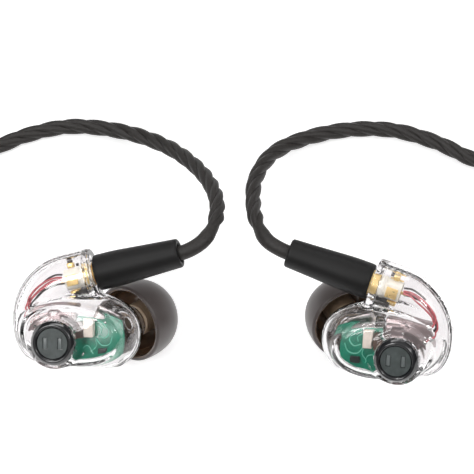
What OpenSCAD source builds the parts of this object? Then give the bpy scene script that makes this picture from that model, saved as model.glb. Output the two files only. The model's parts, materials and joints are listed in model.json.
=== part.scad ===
// Pair of in-ear monitors on a detachable over-ear cable, lying on a table.
// Each monitor is drawn once in its own frame: +X towards the ear canal, +Y
// towards the cable socket, +Z out of the faceplate. The monitor for the left
// ear is the mirror image of the one for the right ear.

/* [Shell] */
// Length of the oval body
body_len = 18.7; // [17:0.1:20]
// Height and depth of the oval body
body_dia = 11.5; // [10.5:0.1:12.5]
// Turn of the oval body in the plane of the faceplate, degrees
body_turn = -5; // [-10:1:0]
// Outer diameter of the socket arm
arm_dia = 7.7; // [7:0.1:8]
// Radius of the arm's bend, at its middle line
arm_bend = 6.1; // [5.5:0.1:6.5]
// Wall thickness of the clear shells
wall = 0.9; // [0.7:0.05:1.1]
// Height of the joint between the two shell halves
seam_z = 0.8; // [0.4:0.1:1.4]

/* [Ambient vent cap] */
// Outer diameter of the black ring
vent_dia = 6.5; // [6:0.1:7]
// Height of the black ring
vent_h = 2.2; // [1.8:0.1:2.6]
// Diameter of the smoked disc
disc_dia = 4.5; // [4:0.1:4.8]

/* [Nozzle and ear tip] */
// Outer diameter of the nozzle
nozzle_dia = 3.4; // [3:0.05:3.6]
// Diameter of the sound bore
sound_bore = 2.2; // [1.8:0.1:2.4]
// Outer diameter of the ear tip's skirt
tip_dia = 11.8; // [11:0.1:13.5]
// Length of the ear tip
tip_len = 7.6; // [6.8:0.1:8.5]
// Running clearance of the ear tip on the nozzle
tip_gap = 0.06; // [0.04:0.01:0.1]

/* [Connector and boot] */
// Bore of the coaxial socket
jack_bore = 2.8; // [2.6:0.05:3]
// Running clearance of the plug in the socket
plug_gap = 0.06; // [0.03:0.01:0.1]
// Length of the rubber boot
boot_len = 12.8; // [11:0.1:14]
// Diameter of the boot beside the monitor
boot_dia = 5.3; // [5:0.1:5.8]
// Diameter of the boot where the cable leaves it
boot_end_dia = 4.3; // [4:0.1:4.6]

/* [Cable] */
// Diameter of each twisted leg of the cable
leg_dia = 2.4; // [2.2:0.1:2.6]
// Diameter of the twisted main cable
trunk_dia = 2.8; // [2.6:0.1:3]
// Thickness of the straps that hold the coils
strap = 0.5; // [0.4:0.1:0.6]

/* [Plug] */
// Diameter of the headphone plug's contacts
pin_dia = 3.5; // [3.4:0.05:3.6]
// Length of the contacts
pin_len = 14; // [13:0.5:15]
// Diameter of the plug's grip
grip_dia = 6.6; // [6:0.1:8]

/* [Hidden] */

$fn = 48;
eps = 0.02; // clearance between fixed pieces that fit into each other

// ---- a monitor's own frame ----
body_at = [0.1, -0.6, 0];
socket_at = [2.5, 7.6, -0.3]; // centre of the arm's flat end
socket_turn = 14.5; // direction of the socket in the faceplate's plane
vent_at = [-2.5, -1.85, 4.6];
rim_at = [6.4, -0.44, -5.27]; // centre of the ear tip's open rim
nozzle_lean = 146.8; // angle between the faceplate's normal and the nozzle
nozzle_turn = 24.3;
stub_len = 5.4; // from the stub's root to the plane of the tip's rim
arm_run = 4; // straight length of the arm behind its end face
jack_depth = 4; // depth of the socket's bore

// ---- where each monitor lies: side is 1 for the right ear, -1 for the left ----
function seat(side) = side > 0 ? [-22.57, 0.06, 10.56] : [22.42, -2.12, 12.18];
function attitude(side) = side > 0 ? [30, -9.5, -5] : [38.5, -7, -9];

function turn_x(p, a) = [p.x, p.y * cos(a) - p.z * sin(a), p.y * sin(a) + p.z * cos(a)];
function turn_y(p, a) = [p.x * cos(a) + p.z * sin(a), p.y, -p.x * sin(a) + p.z * cos(a)];
function turn_z(p, a) = [p.x * cos(a) - p.y * sin(a), p.x * sin(a) + p.y * cos(a), p.z];
function turned(p, a) = turn_z(turn_y(turn_x(p, a.x), a.y), a.z);
function in_table(side, p) = seat(side) + turned([side * p.x, p.y, p.z], attitude(side));

module place(side) {
    translate(seat(side))
    rotate(attitude(side))
    mirror([side > 0 ? 0 : 1, 0, 0])
    children();
}

// +Z points out of the socket, z = 0 is the arm's flat end
module at_socket() {
    translate(socket_at)
    rotate([0, 90, socket_turn])
    children();
}

// +Z points along the nozzle towards the ear, z = 0 is the plane of the tip's rim
module at_nozzle() {
    translate(rim_at)
    rotate([0, nozzle_lean, nozzle_turn])
    children();
}

// ---- shells ----
fullness = 2.4; // exponent of the oval: 2 is an ellipse, more is fuller
function oval_r(t, len, dia) = dia / 2 * pow(1 - pow(abs(t), fullness), 1 / fullness);

// the oval body, shrunk by inset all round
module oval_body(inset) {
    len = body_len - 2 * inset;
    dia = body_dia - 2 * inset;
    steps = [-1, -0.985, -0.94, -0.85, -0.7, -0.45, 0, 0.45, 0.7, 0.85, 0.94, 0.985, 1];
    translate(body_at)
    rotate([0, 0, body_turn])
    rotate([0, 90, 0])
    rotate_extrude()
    polygon([for (t = steps) [oval_r(t, len, dia), t * len / 2]]);
}

// the arm: a bend that rises out of the body and a straight run to the socket
module arm(inset, end) {
    at_socket() {
        translate([0, 0, -arm_run])
        cylinder(d = arm_dia - 2 * inset, h = arm_run - end);
        translate([0, -arm_bend, -arm_run])
        rotate([-90, 0, 0])
        rotate([0, -90, 0])
        rotate_extrude(angle = 100)
        translate([arm_bend, 0])
        circle(d = arm_dia - 2 * inset);
    }
}

module stub() {
    at_nozzle()
    translate([0, 0, -stub_len])
    cylinder(r1 = 4.2, r2 = 2.5, h = stub_len + 1);
}

module shell_skin() {
    difference() {
        union() {
            oval_body(0);
            arm(0, 0);
            stub();
            at_nozzle() cylinder(d = nozzle_dia, h = tip_len - 0.6);
        }
        oval_body(wall);
        arm(wall, 1);
        at_socket()
        translate([0, 0, -2])
        cylinder(d = jack_bore + 0.6 + 2 * eps, h = 4);
        at_nozzle()
        translate([0, 0, -stub_len])
        cylinder(d = sound_bore, h = 20);
    }
}

module half(front) {
    translate([-30, -30, front ? seam_z : seam_z - 40])
    cube([60, 60, 40]);
}

module shell_front() {
    color([0.92, 0.94, 0.95, 0.4])
    difference() {
        union() {
            intersection() {
                shell_skin();
                half(true);
            }
            translate(vent_at)
            translate([0, 0, -1.2])
            cylinder(d = vent_dia + 1.4, h = 1.9);
        }
        translate(vent_at)
        cylinder(d = vent_dia + 2 * eps, h = 5);
        translate(vent_at)
        translate([0, 0, -2])
        cylinder(d = 2.4, h = 5);
    }
}

module shell_back() {
    color([0.92, 0.94, 0.95, 0.4])
    intersection() {
        shell_skin();
        half(false);
    }
}

// ---- vent cap ----
module vent_ring() {
    color([0.06, 0.06, 0.07])
    translate(vent_at)
    rotate_extrude()
    polygon([
        [1.2, 0], [vent_dia / 2, 0], [vent_dia / 2, vent_h - 0.5], [vent_dia / 2 - 0.4, vent_h],
        [disc_dia / 2 + 0.25, vent_h], [disc_dia / 2 + eps, vent_h - 0.35],
        [disc_dia / 2 + eps, vent_h - 1], [1.2, vent_h - 1]
    ]);
}

module vent_disc() {
    slot = [0.7, 1.7, 0.4];
    color([0.25, 0.28, 0.28])
    translate(vent_at + [0, 0, vent_h - 1])
    difference() {
        cylinder(d = disc_dia, h = 0.7);
        for (x = [-1.1, 1.1])
            translate([x, 0, 0.6])
            cube(slot, center = true);
    }
}

// ---- connector inside the arm ----
module jack() {
    color([0.86, 0.68, 0.32])
    at_socket()
    difference() {
        union() {
            translate([0, 0, -jack_depth])
            cylinder(d = jack_bore + 0.6, h = jack_depth - 0.05);
            translate([-1.5, -1.5, -4.4])
            cube([3, 3, 2.4]);
            translate([-2, -1.3, -3.5])
            rotate([0, 90, 0])
            cylinder(d = 1.3, h = 1);
        }
        translate([0, 0, -jack_depth])
        cylinder(d = jack_bore, h = jack_depth + 1);
        translate([0, 0, -6])
        cylinder(d = 1, h = 4);
    }
}

module jack_insulator() {
    color([0.93, 0.92, 0.88])
    at_socket()
    translate([0, 0, -jack_depth])
    difference() {
        cylinder(d = jack_bore - 2 * eps, h = 0.8);
        translate([0, 0, -1])
        cylinder(d = 0.54, h = 3);
    }
}

module jack_pin() {
    color([0.86, 0.68, 0.32])
    at_socket()
    translate([0, 0, -5.2])
    cylinder(d = 0.5, h = 3.6);
}

// black potting that closes the arm's root below the jack
module arm_seal() {
    color([0.05, 0.05, 0.05])
    at_socket()
    intersection() {
        translate([0, 0, -2.6])
        cylinder(d = arm_dia - 2 * wall - 0.1, h = 1.4);
        translate([-3, -5, -3])
        cube([6, 3.2, 3]);
    }
}

// ---- inside the body ----
module driver(size, spout) {
    cube(size);
    translate([size.x - 0.01, size.y / 2, size.z / 2])
    rotate([0, 90, 0])
    cylinder(d = spout, h = 0.7);
}

module woofer() {
    color([0.72, 0.62, 0.66])
    translate([-6.6, -1.2, -1.2])
    driver([6.6, 3.7, 2.9], 1.4);
}

module midrange() {
    color([0.75, 0.72, 0.72])
    translate([-4.6, -4.3, -1.8])
    driver([4.4, 2.7, 2], 1.1);
}

module tweeter() {
    color([0.78, 0.76, 0.75])
    translate([1.9, 0.6, -2.6])
    rotate([0, 0, -20])
    driver([3.6, 2.2, 1.8], 0.9);
}

board_z = 1.9; // height of the board's upper face

module circuit_board() {
    color([0.05, 0.5, 0.36])
    intersection() {
        oval_body(wall + 0.2);
        translate([0.3, -8, board_z - 0.5])
        cube([6.3, 9.8, 0.5]);
    }
}

module capacitors() {
    base = board_z + eps;
    color([0.9, 0.88, 0.8])
    translate([1.5, -1.25, base])
    cube([1.4, 2.8, 1.6]);
    color([0.2, 0.13, 0.1])
    translate([0.4, -1.45, base])
    cube([0.95, 2.4, 1.4]);
    color([0.12, 0.12, 0.13])
    translate([3.4, -3.9, base])
    cube([1.4, 0.9, 0.5]);
}

module sound_tubes() {
    color([0.85, 0.9, 0.92, 0.5]) {
        sweep([[0.85, 0.65, 0.25], [1.6, 0.3, 0.2], [2.5, -0.8, -0.4], [3.5, -1.8, -1.8]], 1);
        sweep([[0.65, -2.95, -0.8], [1.4, -2.95, -0.9], [2.2, -2.8, -1.2], [3, -2.5, -1.9]], 0.9);
    }
}

module damper() {
    color([0.2, 0.45, 0.3])
    at_nozzle()
    translate([0, 0, 0.5])
    cylinder(d = sound_bore - 2 * eps, h = 1.4);
}

module nozzle_mesh() {
    color([0.7, 0.7, 0.7])
    at_nozzle()
    translate([0, 0, tip_len - 1])
    difference() {
        cylinder(d = sound_bore - 2 * eps, h = 0.2);
        for (x = [-0.5, 0, 0.5], y = [-0.5, 0, 0.5])
            translate([x, y, -1])
            cylinder(d = 0.26, h = 3, $fn = 6);
    }
}

module red_wire() {
    color([0.75, 0.12, 0.12])
    sweep([[-2.1, 6.9, 0.5], [-4.4, 6.5, 0.8], [-6.3, 5.2, 0.9], [-7.3, 3.3, 0.8], [-7, 1.9, 0.5]], 0.5);
}

module black_wire() {
    color([0.06, 0.06, 0.06])
    sweep([[-2, 5.9, -1.2], [-3.8, 5.6, -1.3], [-5.7, 4.6, -1.2], [-6.8, 2.8, -0.9], [-7, 0.9, -0.4]], 0.5);
}

// ---- ear tip ----
module ear_tip() {
    r = tip_dia / 2;
    bore = nozzle_dia / 2 + tip_gap;
    skin = 0.65;
    color([0.23, 0.2, 0.2])
    at_nozzle()
    rotate_extrude()
    polygon([
        [r - 0.1, 0], [r, 1.4], [r - 0.1, 2.9], [r - 0.45, 4.3], [r - 1.2, 5.6],
        [r - 2.3, 6.7], [r - 3.3, tip_len - 0.25], [r - 3.7, tip_len], [bore, tip_len],
        [bore, 1.4], [bore + skin, 1.4], [bore + skin, 5.2], [r - 2.8, 5.6],
        [r - 1.8, 4.9], [r - 1.1, 3.8], [r - 0.75, 2.5], [r - skin, 1.4], [r - 0.7, 0]
    ]);
}

// ---- cable end that plugs into a monitor ----
boot_gap = 0.3; // gap between the arm's end face and the boot
cord_seat = boot_gap + boot_len - 1.3; // where the cable meets the boot, inside its mouth
snap_at = -1.9; // start of the groove that holds the snap ring
groove_r = 1.05;

module plug() {
    r = jack_bore / 2 - plug_gap;
    color([0.86, 0.68, 0.32])
    at_socket()
    rotate_extrude()
    polygon([
        [0.85, -2.9], [r, -2.9], [r, snap_at], [groove_r, snap_at],
        [groove_r, snap_at + 0.6], [r, snap_at + 0.6], [r, 0.15], [1.9, 0.15],
        [1.9, 4], [0.85, 4]
    ]);
}

// the split spring ring in the plug's groove, on which the monitor swivels
module snap_ring() {
    color([0.8, 0.62, 0.28])
    at_socket()
    translate([0, 0, snap_at + 0.05])
    difference() {
        cylinder(d = jack_bore - 0.06, h = 0.5);
        translate([0, 0, -1])
        cylinder(r = groove_r + 0.05, h = 2);
        translate([0, -0.3, -1])
        cube([2, 0.6, 2]);
    }
}

module plug_core() {
    color([0.93, 0.92, 0.88])
    at_socket()
    translate([0, 0, -2.8])
    difference() {
        cylinder(d = 1.7 - 2 * eps, h = 6.6);
        translate([0, 0, -1])
        cylinder(d = 0.62, h = 3);
    }
}

module boot() {
    r = boot_dia / 2;
    re = boot_end_dia / 2;
    top = boot_gap + boot_len;
    color([0.09, 0.09, 0.09])
    at_socket()
    rotate_extrude()
    polygon([
        [1.9 + eps, boot_gap], [r - 0.15, boot_gap], [r, boot_gap + 0.25], [r, 3.4],
        [r - 0.18, 6.8], [re + 0.15, 9.8], [re, top - 0.2], [re - 0.2, top],
        [leg_dia / 2 + 0.25, top], [leg_dia / 2 + 0.25, cord_seat], [0, cord_seat],
        [0, 4 + eps], [1.9 + eps, 4 + eps]
    ]);
}

// ---- round rods and cords, swept along a route ----
sides = 8;
function unit(v) = v / norm(v);
function along(r, i) = unit(r[min(i + 1, len(r) - 1)] - r[max(i - 1, 0)]);
function across(t) = unit(cross([0, 0, 1], t));
function ring(p, t, rad) = [
    for (k = [0 : sides - 1])
        p + rad * (cos(360 * k / sides) * across(t) + sin(360 * k / sides) * cross(t, across(t)))
];

module sweep(route, dia) {
    n = len(route);
    points = [for (i = [0 : n - 1]) each ring(route[i], along(route, i), dia / 2)];
    skin = [
        for (i = [0 : n - 2], k = [0 : sides - 1])
            let (a = i * sides + k, b = i * sides + (k + 1) % sides)
            [a, a + sides, b + sides, b]
    ];
    first = [for (k = [0 : sides - 1]) k];
    last = [for (k = [sides - 1 : -1 : 0]) (n - 1) * sides + k];
    polyhedron(points, concat([first, last], skin));
}

module cord(route, dia) {
    color([0.2, 0.19, 0.19])
    sweep(route, dia);
}

// straight out of the boot, along the socket's axis, and on from there
function boot_axis(side, s) = in_table(
    side, socket_at + s * [cos(socket_turn), sin(socket_turn), 0]);
function boot_lead(side) = [for (s = [0, 2.2]) boot_axis(side, cord_seat + s)];

floor_z = leg_dia / 2; // height of a leg's middle line where it lies on the table
coil_z = strap; // the coils lie on their straps
run_z = 2.2; // height of the legs' middle lines in the slider and the split block
run_gap = 1.5; // half the distance between the two legs there
run_y = 104; // the slider, the split block and the main cable lie on this line

right_route = concat(boot_lead(1), [
    [-4.5, 9.9, 18.6], [-2.8, 12.9, 17.7], [-2.3, 17, 15.3], [-3.2, 21.5, 12],
    [-5.5, 26, 8.5], [-10, 31, 4.5], [-16.5, 34.5, 1.8], [-24.5, 35.6, floor_z],
    [-31.5, 34, floor_z], [-36.4, 31.8, floor_z], [-39.5, 31.1, floor_z],
    [-42.4, 32.2, floor_z], [-44.3, 34.8, floor_z], [-44.9, 38.5, floor_z],
    [-44.8, 43, floor_z], [-44.4, 50, floor_z],
    [-43.8, 58, floor_z], [-43.5, 66, floor_z], [-43.5, 74, floor_z],
    [-43.6, 80, floor_z + 0.3], [-43.6, 84.3, floor_z + coil_z]
]);

left_route = concat(boot_lead(-1), [
    [5, 10.9, 16.7], [3.5, 14.5, 15.1], [3, 19, 12], [3.4, 24, 8.9],
    [6, 29.5, 5.2], [10.5, 33, 2.5], [17, 35, 1.3], [24, 35, floor_z],
    [30.5, 33, floor_z], [36, 30.3, floor_z], [39.2, 29.7, floor_z],
    [42.1, 30.8, floor_z], [44.1, 33.4, floor_z], [44.8, 37, floor_z],
    [45, 42, floor_z], [44.8, 47.5, floor_z], [43.3, 53, floor_z],
    [39.3, 57.6, floor_z], [32.5, 59.2, floor_z], [24, 59.3, floor_z],
    [15, 59.3, floor_z], [6, 59.3, floor_z], [-3, 59.3, floor_z], [-12, 59.4, floor_z],
    [-20.5, 60.4, floor_z], [-28, 62.2, floor_z], [-34.2, 66.2, floor_z],
    [-38.4, 71.6, floor_z + 0.2], [-40.4, 76.8, floor_z + coil_z]
]);

// from the coil of the two legs to the split block
right_run = [
    [-25.8, 102.1, 4.1], [-20.8, 102.9, 3.4], [-15.6, run_y + run_gap, run_z],
    [-9.5, run_y + run_gap, run_z], [-3, run_y + run_gap, run_z]
];
left_run = [
    [-25.8, 99.7, 4.1], [-20.8, 100.2, 3.4], [-15.6, run_y - run_gap, run_z],
    [-9.5, run_y - run_gap, run_z], [-3, run_y - run_gap, run_z]
];

// the main cable: from the split block to its coil, and from there to the plug
trunk_in = [
    [6, run_y, run_z], [7.5, run_y, run_z], [10.5, 104.4, 2.13], [15, 105.2, 2],
    [18, 105.4, 1.95]
];
headphone_plug_at = [24.24, 72.84, 9.68]; // the plug lies on the coil
plug_turn = 20;
plug_lead = headphone_plug_at - 1.5 * [-sin(plug_turn), cos(plug_turn), 0];
trunk_out = [
    [42.1, 76, 6.2], [40.2, 72.4, 7], [37.1, 68.7, 7.8], [33.7, 66.8, 8],
    [29.9, 66.8, 8.5], [26.6, 68.5, 9.3], plug_lead, headphone_plug_at
];

// ---- coils ----
leg_coil_at = [-25.8, 84.3, coil_z];
leg_coil_r = 14.2; // middle line of the ring of turns
leg_coil_w = 4 * leg_dia + 0.4;
leg_coil_h = 2 * leg_dia + 0.2;
trunk_coil_at = [21.9, 83.9, coil_z];
trunk_coil_r = 15.4;
trunk_coil_w = 15.4;
trunk_coil_h = 2 * trunk_dia + 0.2;
tie_arc = 22; // degrees of a coil that its strap covers

module ring_of_turns(mid, width, height) {
    rotate_extrude()
    translate([mid - width / 2, 0])
    square([width, height]);
}

// a strap closed round the section of a coil
module tie(mid, width, height, at) {
    rotate([0, 0, at - tie_arc / 2])
    rotate_extrude(angle = tie_arc)
    difference() {
        translate([mid - width / 2 - strap - 0.05, -strap])
        square([width + 2 * strap + 0.1, height + 2 * strap + 0.1]);
        translate([mid - width / 2 - 0.05, 0])
        square([width + 0.1, height + 0.1]);
    }
}

module leg_coil() {
    color([0.2, 0.19, 0.19])
    translate(leg_coil_at)
    ring_of_turns(leg_coil_r, leg_coil_w, leg_coil_h);
}

module leg_coil_tie() {
    color([0.1, 0.1, 0.11])
    translate(leg_coil_at)
    tie(leg_coil_r, leg_coil_w, leg_coil_h, -70);
}

module trunk_coil() {
    color([0.2, 0.19, 0.19])
    translate(trunk_coil_at)
    ring_of_turns(trunk_coil_r, trunk_coil_w, trunk_coil_h);
}

module trunk_coil_ties() {
    color([0.1, 0.1, 0.11])
    translate(trunk_coil_at)
    for (at = [30, 210])
        tie(trunk_coil_r, trunk_coil_w, trunk_coil_h, at);
}

// ---- pieces on the cable ----
// two rounded tubes side by side and the web between them
module twin(length) {
    for (y = [-run_gap, run_gap])
        translate([0, y, 0])
        rotate([0, 90, 0])
        cylinder(r = run_z, h = length);
    translate([0, -run_gap, -run_z])
    cube([length, 2 * run_gap, 2 * run_z]);
}

module chin_slider() {
    color([0.08, 0.08, 0.08])
    translate([-9.5, run_y, run_z])
    difference() {
        twin(6);
        for (y = [-run_gap, run_gap])
            translate([-1, y, 0])
            rotate([0, 90, 0])
            cylinder(d = leg_dia + 0.12, h = 8);
    }
}

module split_block() {
    color([0.08, 0.08, 0.08])
    translate([-3, run_y, run_z]) {
        twin(4);
        translate([3.99, 0, 0])
        rotate([0, 90, 0])
        cylinder(r1 = run_z, r2 = trunk_dia / 2 + 0.3, h = 5.01);
    }
}

// +Z points from the cable to the contacts
module at_headphone_plug() {
    translate(headphone_plug_at)
    rotate([-90, 0, plug_turn])
    children();
}

relief_len = 7; // ribbed strain relief
grip_len = 15;

module headphone_plug_relief() {
    color([0.08, 0.08, 0.08])
    at_headphone_plug()
    rotate_extrude()
    polygon([
        [0, 0], [1.7, 0], [1.9, 1.2], [1.65, 1.2], [1.65, 1.9], [2.1, 1.9], [2.2, 3.1],
        [1.85, 3.1], [1.85, 3.8], [2.35, 3.8], [2.45, 5], [2.1, 5], [2.1, 5.7], [2.6, 5.7],
        [2.7, relief_len], [0, relief_len]
    ]);
}

module headphone_plug_grip() {
    r = grip_dia / 2;
    color([0.1, 0.1, 0.1])
    at_headphone_plug()
    translate([0, 0, relief_len])
    rotate_extrude()
    polygon([
        [0, 0], [r - 0.5, 0], [r, 0.6], [r, 4], [r - 0.2, 4.3], [r - 0.2, 9.7], [r, 10],
        [r, grip_len - 1], [r - 0.6, grip_len], [0, grip_len]
    ]);
}

// lengths of the contacts, from the grip outwards: sleeve, ring and tip
insulator = 0.6;
ring_len = 2.4;
tip_contact_len = 4.1;
sleeve_len = pin_len - tip_contact_len - ring_len - 2 * insulator;

module headphone_plug_contacts() {
    r = pin_dia / 2;
    color([0.86, 0.68, 0.32])
    at_headphone_plug()
    translate([0, 0, relief_len + grip_len]) {
        cylinder(r = r, h = sleeve_len);
        translate([0, 0, sleeve_len + insulator])
        cylinder(r = r, h = ring_len);
        translate([0, 0, pin_len - tip_contact_len])
        rotate_extrude()
        polygon([
            [0, 0], [r, 0], [r, 0.4], [r - 0.55, 1], [r - 0.55, 1.3], [r - 0.1, 2],
            [r - 0.1, 2.3], [r - 0.9, 3.7], [r - 1.3, tip_contact_len], [0, tip_contact_len]
        ]);
    }
}

module headphone_plug_insulators() {
    color([0.1, 0.1, 0.1])
    at_headphone_plug()
    translate([0, 0, relief_len + grip_len + sleeve_len]) {
        cylinder(d = pin_dia, h = insulator);
        translate([0, 0, insulator + ring_len])
        cylinder(d = pin_dia, h = insulator);
    }
}

place(1) shell_front();  // right_shell_front
place(1) shell_back();  // right_shell_back
place(1) vent_ring();  // right_vent_ring
place(1) vent_disc();  // right_vent_disc
place(1) jack();  // right_jack
place(1) jack_insulator();  // right_jack_insulator
place(1) jack_pin();  // right_jack_pin
place(1) arm_seal();  // right_arm_seal
place(1) woofer();  // right_woofer
place(1) midrange();  // right_midrange
place(1) tweeter();  // right_tweeter
place(1) circuit_board();  // right_circuit_board
place(1) capacitors();  // right_capacitors
place(1) sound_tubes();  // right_sound_tubes
place(1) damper();  // right_damper
place(1) nozzle_mesh();  // right_nozzle_mesh
place(1) red_wire();  // right_red_wire
place(1) black_wire();  // right_black_wire
place(1) ear_tip();  // right_ear_tip
place(1) plug();  // right_plug
place(1) plug_core();  // right_plug_core
place(1) snap_ring();  // right_snap_ring
place(1) boot();  // right_boot
union() {  // right_leg_cord
    cord(right_route, leg_dia);
    cord(right_run, leg_dia);
}
place(-1) shell_front();  // left_shell_front
place(-1) shell_back();  // left_shell_back
place(-1) vent_ring();  // left_vent_ring
place(-1) vent_disc();  // left_vent_disc
place(-1) jack();  // left_jack
place(-1) jack_insulator();  // left_jack_insulator
place(-1) jack_pin();  // left_jack_pin
place(-1) arm_seal();  // left_arm_seal
place(-1) woofer();  // left_woofer
place(-1) midrange();  // left_midrange
place(-1) tweeter();  // left_tweeter
place(-1) circuit_board();  // left_circuit_board
place(-1) capacitors();  // left_capacitors
place(-1) sound_tubes();  // left_sound_tubes
place(-1) damper();  // left_damper
place(-1) nozzle_mesh();  // left_nozzle_mesh
place(-1) red_wire();  // left_red_wire
place(-1) black_wire();  // left_black_wire
place(-1) ear_tip();  // left_ear_tip
place(-1) plug();  // left_plug
place(-1) plug_core();  // left_plug_core
place(-1) snap_ring();  // left_snap_ring
place(-1) boot();  // left_boot
union() {  // left_leg_cord
    cord(left_route, leg_dia);
    cord(left_run, leg_dia);
}
leg_coil();
leg_coil_tie();
chin_slider();
split_block();
union() {  // trunk_cord
    cord(trunk_in, trunk_dia);
    cord(trunk_out, trunk_dia);
}
trunk_coil();
trunk_coil_ties();
headphone_plug_relief();
headphone_plug_grip();
headphone_plug_contacts();
headphone_plug_insulators();
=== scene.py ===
import json
from math import cos, pi, radians, sin, sqrt

import bpy
import bmesh
import numpy as np
from mathutils import Matrix, Vector
from numpy.linalg import norm


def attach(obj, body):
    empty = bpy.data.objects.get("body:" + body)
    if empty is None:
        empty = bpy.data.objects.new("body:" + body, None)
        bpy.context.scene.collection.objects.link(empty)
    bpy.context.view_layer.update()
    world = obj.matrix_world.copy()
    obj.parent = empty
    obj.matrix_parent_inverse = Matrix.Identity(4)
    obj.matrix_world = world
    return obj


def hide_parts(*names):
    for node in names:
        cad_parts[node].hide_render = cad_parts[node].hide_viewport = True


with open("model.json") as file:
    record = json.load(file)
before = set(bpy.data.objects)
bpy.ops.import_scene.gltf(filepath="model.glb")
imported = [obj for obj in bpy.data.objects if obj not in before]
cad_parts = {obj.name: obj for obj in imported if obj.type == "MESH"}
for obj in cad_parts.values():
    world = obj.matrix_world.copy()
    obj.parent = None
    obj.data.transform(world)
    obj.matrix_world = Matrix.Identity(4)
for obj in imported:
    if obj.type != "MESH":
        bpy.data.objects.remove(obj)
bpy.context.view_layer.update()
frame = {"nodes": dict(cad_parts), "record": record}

MM = 0.001
JOINTS = {j["name"]: j for j in frame["record"]["behaviour"]["joints"]}
SIDES = {"right": 1, "left": -1}

scene = bpy.context.scene


def new_object(name, data):
    obj = bpy.data.objects.new(name, data)
    scene.collection.objects.link(obj)
    return obj


# ---- camera
ELEVATION, DISTANCE = radians(68), 0.8
AIM = Vector((0.6, 13.7, 11.1)) * MM
camera_data = bpy.data.cameras.new("camera")
camera_data.lens, camera_data.sensor_width = 413.2, 36
camera_data.clip_start, camera_data.clip_end = 0.05, 20
camera = new_object("camera", camera_data)
camera.location = AIM + DISTANCE * Vector((0, -cos(ELEVATION), sin(ELEVATION)))
camera.rotation_euler = (pi / 2 - ELEVATION, 0, 0)
scene.camera = camera

# ---- materials
MIX_A, MIX_B = 6, 7  # the colour inputs of a Mix node


def new_material(name):
    mat = bpy.data.materials.new(name)
    mat.use_nodes = True
    tree = mat.node_tree
    return mat, tree, tree.nodes["Principled BSDF"]


def feed(tree, node, inputs):
    """Inputs of a node set to a value, or linked where an output is given."""
    for key, value in inputs.items():
        socket = node.inputs[key.replace("_", " ") if isinstance(key, str) else key]
        if isinstance(value, bpy.types.NodeSocket):
            tree.links.new(value, socket)
        else:
            socket.default_value = value


def add_node(tree, kind, **inputs):
    node = tree.nodes.new("ShaderNode" + kind)
    feed(tree, node, inputs)
    return node


def noise_node(tree, size, detail, stretch=None):
    """Noise with features of the given size in mm, in the object's own coordinates."""
    at = add_node(tree, "TexCoord").outputs["Object"]
    if stretch:
        at = add_node(tree, "Mapping", Vector=at, Scale=stretch).outputs[0]
    return add_node(tree, "TexNoise", Scale=1 / (size * MM), Detail=detail, Vector=at)


def add_bump(tree, bsdf, noise, depth, strength):
    """Relief of the given depth in mm."""
    bump = add_node(tree, "Bump", Distance=depth * MM, Strength=strength,
                    Height=noise.outputs[0])
    tree.links.new(bump.outputs[0], bsdf.inputs["Normal"])


def material(name, color, rough, grain=0.3, depth=0.004, strength=0.5, vary=0.2, other=None,
             rough_vary=0.08, stretch=None, patch=3.0, **sockets):
    """A Principled material: colour patches, uneven roughness and a fine grain, in mm."""
    mat, tree, bsdf = new_material(name)
    low = other or [c * (1 - vary) for c in color]
    high = [min(1, c * (1 + vary)) for c in color]
    mix = add_node(tree, "Mix")
    mix.data_type = "RGBA"
    feed(tree, mix, {0: noise_node(tree, patch, 2.0).outputs[0], MIX_A: (*low, 1),
                     MIX_B: (*high, 1)})
    fine = noise_node(tree, grain, 4.0, stretch)
    spread = add_node(tree, "MapRange", Value=fine.outputs[0],
                      To_Min=max(0.02, rough - rough_vary), To_Max=min(1, rough + rough_vary))
    add_bump(tree, bsdf, fine, depth, strength)
    feed(tree, bsdf, {"Base Color": mix.outputs[2], "Roughness": spread.outputs[0], **sockets})
    return mat


def clear_material(name, color, rough, ior, ripple, strength):
    """Clear plastic: constant transmission, and a faint ripple of the moulded surface."""
    mat, tree, bsdf = new_material(name)
    feed(tree, bsdf, {"Base Color": (*color, 1), "Roughness": rough, "IOR": ior,
                      "Transmission Weight": 1.0})
    add_bump(tree, bsdf, noise_node(tree, ripple, 1.0), 0.02, strength)
    return mat


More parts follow.
